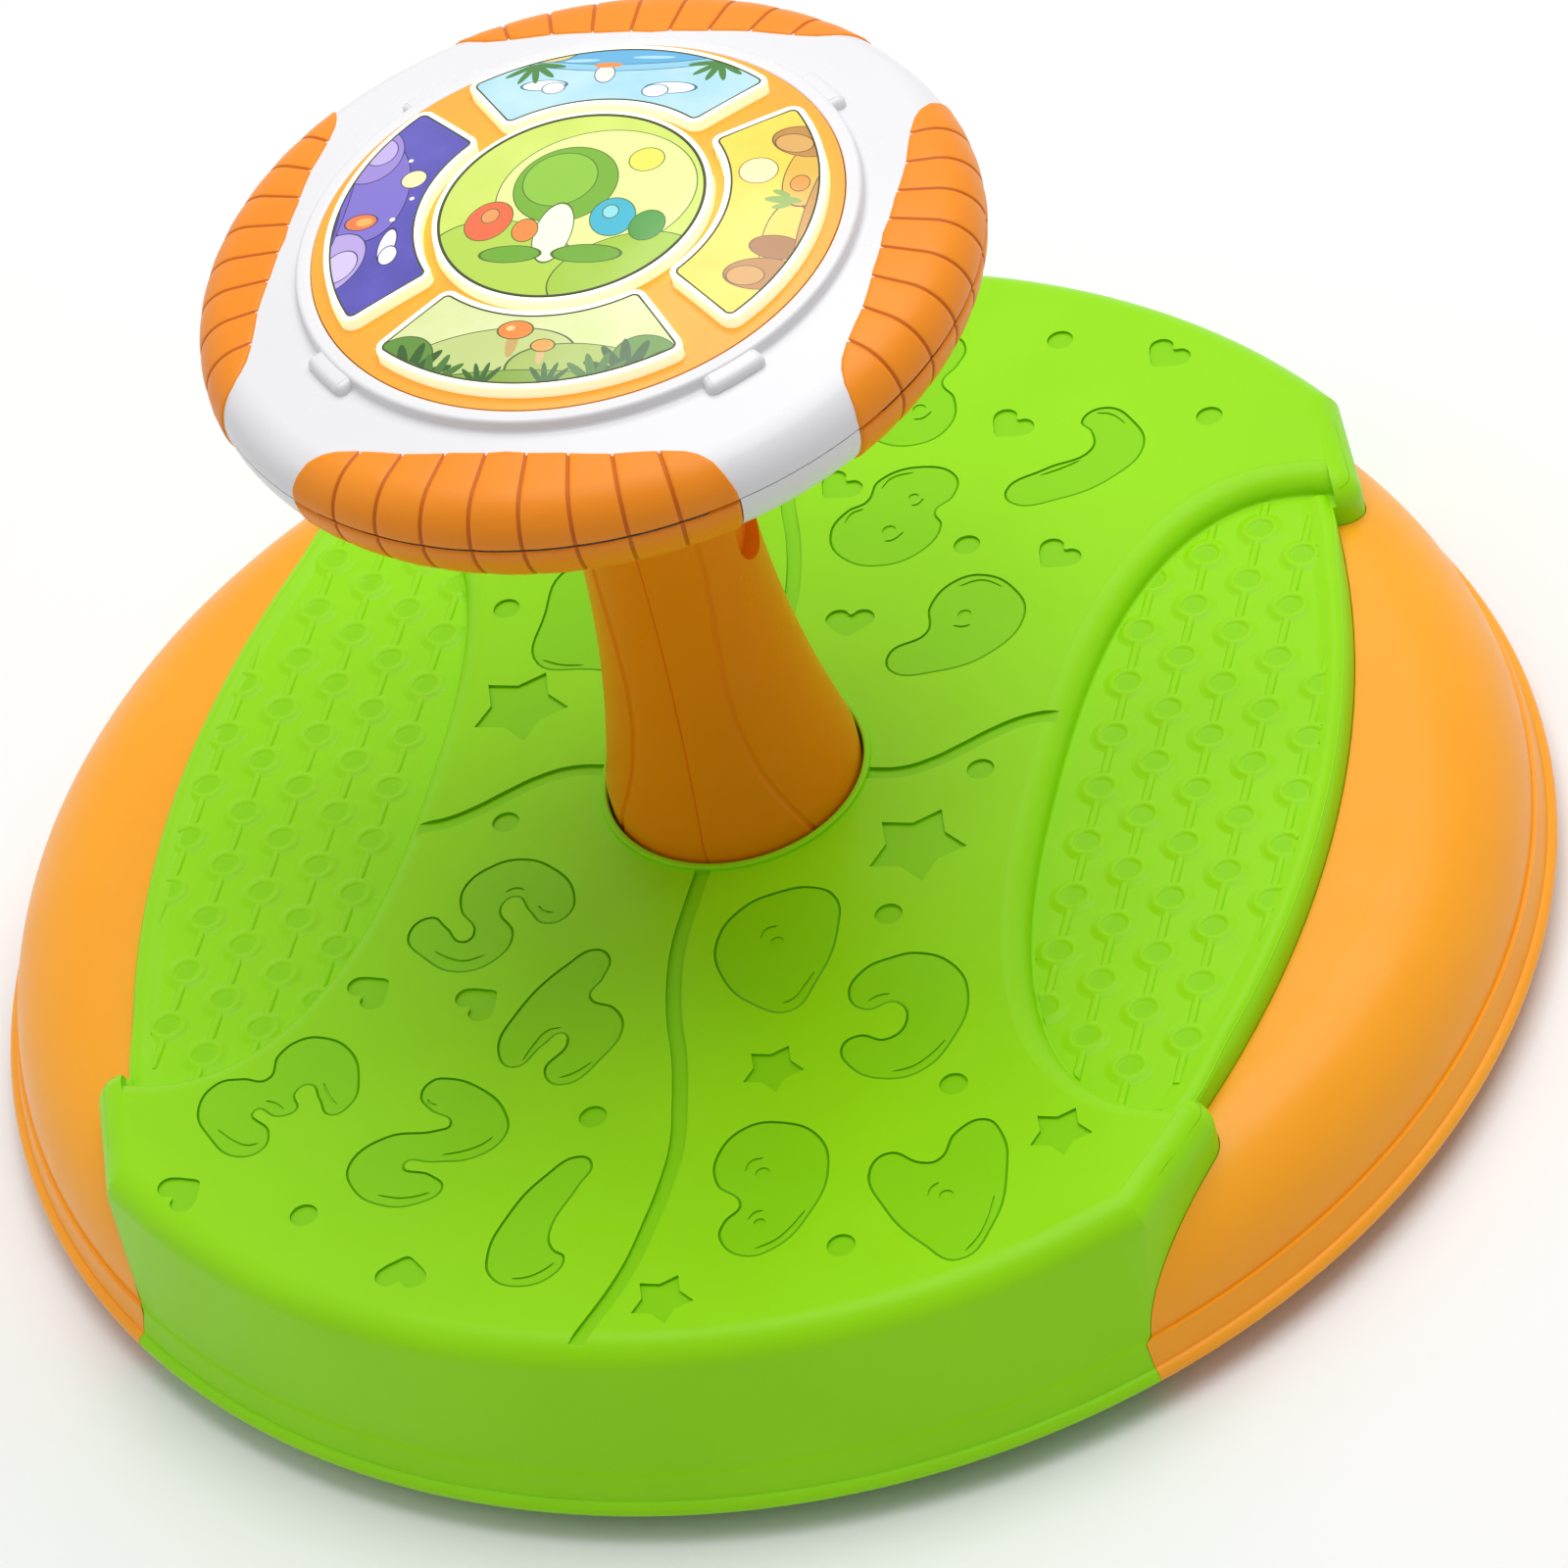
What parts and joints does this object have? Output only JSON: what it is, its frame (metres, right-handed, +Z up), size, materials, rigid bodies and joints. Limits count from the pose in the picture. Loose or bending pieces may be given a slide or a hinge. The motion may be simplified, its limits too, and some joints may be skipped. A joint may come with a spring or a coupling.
{
  "type": "toddler spinning seat",
  "caption": "Low round spinning seat for a toddler: a green deck with sunk footrests and orange side covers turns round a fixed column with a ribbed hand wheel and light-up push buttons",
  "frame": {"origin": "centre of the seat on the floor", "axes": "+Z up along the spin axis; the footrests and side covers lie on X; the front seat is on -Y"},
  "size_m": [0.45, 0.4498, 0.2771],
  "materials": {
    "base_plastic": "moulded, plain",
    "foot_rubber": "plain",
    "steel": "bright zinc",
    "orange_plastic": "satin gloss",
    "grip_plastic": "satin gloss, ribbed",
    "white_plastic": "satin gloss",
    "green_plastic": "satin gloss",
    "bush_nylon": "plain",
    "board_laminate": "plain",
    "led_lens": "clear",
    "speaker_black": "plain",
    "cell_jacket": "printed jacket, bare of words",
    "switch_black": "plain",
    "dome_rubber": "silicone",
    "tile_clear": "milky, lit from behind",
    "face_centre": "printed",
    "face_right": "printed",
    "face_back": "printed",
    "face_left": "printed",
    "face_front": "printed"
  },
  "bodies": {
    "stand": {"base_plate": "base_plastic", "base_feet": "foot_rubber", "lower_race": "steel", "base_screws": "steel", "column_left": "orange_plastic", "column_right": "orange_plastic", "stem_screws": "steel", "wheel_lower": "white_plastic", "wheel_upper": "white_plastic", "grips_lower": "grip_plastic", "grips_upper": "grip_plastic", "wheel_screws": "steel", "bezel": "orange_plastic", "circuit_board": "board_laminate", "board_screws": "steel", "leds": "led_lens", "speaker": "speaker_black", "battery_cells": "cell_jacket", "battery_contacts": "steel", "battery_door": "white_plastic", "door_screw": "steel", "switch_case": "base_plastic", "dome_centre": "dome_rubber", "dome_right": "dome_rubber", "dome_back": "dome_rubber", "dome_left": "dome_rubber", "dome_front": "dome_rubber"},
    "seat": {"deck": "green_plastic", "cover_left": "orange_plastic", "cover_right": "orange_plastic", "cover_screws": "steel", "hub_bush": "bush_nylon", "upper_race": "steel"},
    "ball_ring": {"ball_cage": "white_plastic", "thrust_balls": "steel"},
    "power_switch": {"switch_slider": "switch_black"},
    "button_centre": {"tile_centre": "tile_clear", "label_centre": "face_centre"},
    "button_right": {"tile_right": "tile_clear", "label_right": "face_right"},
    "button_back": {"tile_back": "tile_clear", "label_back": "face_back"},
    "button_left": {"tile_left": "tile_clear", "label_left": "face_left"},
    "button_front": {"tile_front": "tile_clear", "label_front": "face_front"}
  },
  "joints": [
    {"name": "deck_spin", "type": "hinge", "parent": "stand", "child": "seat", "pos_m": [0, 0, 0], "axis": [0, 0, 1], "continuous": true},
    {"name": "ball_ring_spin", "type": "hinge", "parent": "stand", "child": "ball_ring", "pos_m": [0, 0, 0], "axis": [0, 0, 1], "continuous": true},
    {"name": "press_centre", "type": "slide", "parent": "stand", "child": "button_centre", "axis": [0, 0, -1], "range_m": [0, 0.002], "stiffness_N_per_m": 1000, "springref_m": -0.001, "deforming": ["dome_centre"]},
    {"name": "press_right", "type": "slide", "parent": "stand", "child": "button_right", "axis": [0, 0, -1], "range_m": [0, 0.002], "stiffness_N_per_m": 1000, "springref_m": -0.001, "deforming": ["dome_right"]},
    {"name": "press_back", "type": "slide", "parent": "stand", "child": "button_back", "axis": [0, 0, -1], "range_m": [0, 0.002], "stiffness_N_per_m": 1000, "springref_m": -0.001, "deforming": ["dome_back"]},
    {"name": "press_left", "type": "slide", "parent": "stand", "child": "button_left", "axis": [0, 0, -1], "range_m": [0, 0.002], "stiffness_N_per_m": 1000, "springref_m": -0.001, "deforming": ["dome_left"]},
    {"name": "press_front", "type": "slide", "parent": "stand", "child": "button_front", "axis": [0, 0, -1], "range_m": [0, 0.002], "stiffness_N_per_m": 1000, "springref_m": -0.001, "deforming": ["dome_front"]},
    {"name": "switch_slide", "type": "slide", "parent": "stand", "child": "power_switch", "axis": [1, 0, 0], "range_m": [0, 0.006]}
  ],
  "couplings": [
    {"joint": "ball_ring_spin", "follows": "deck_spin", "ratio": 0.5}
  ]
}
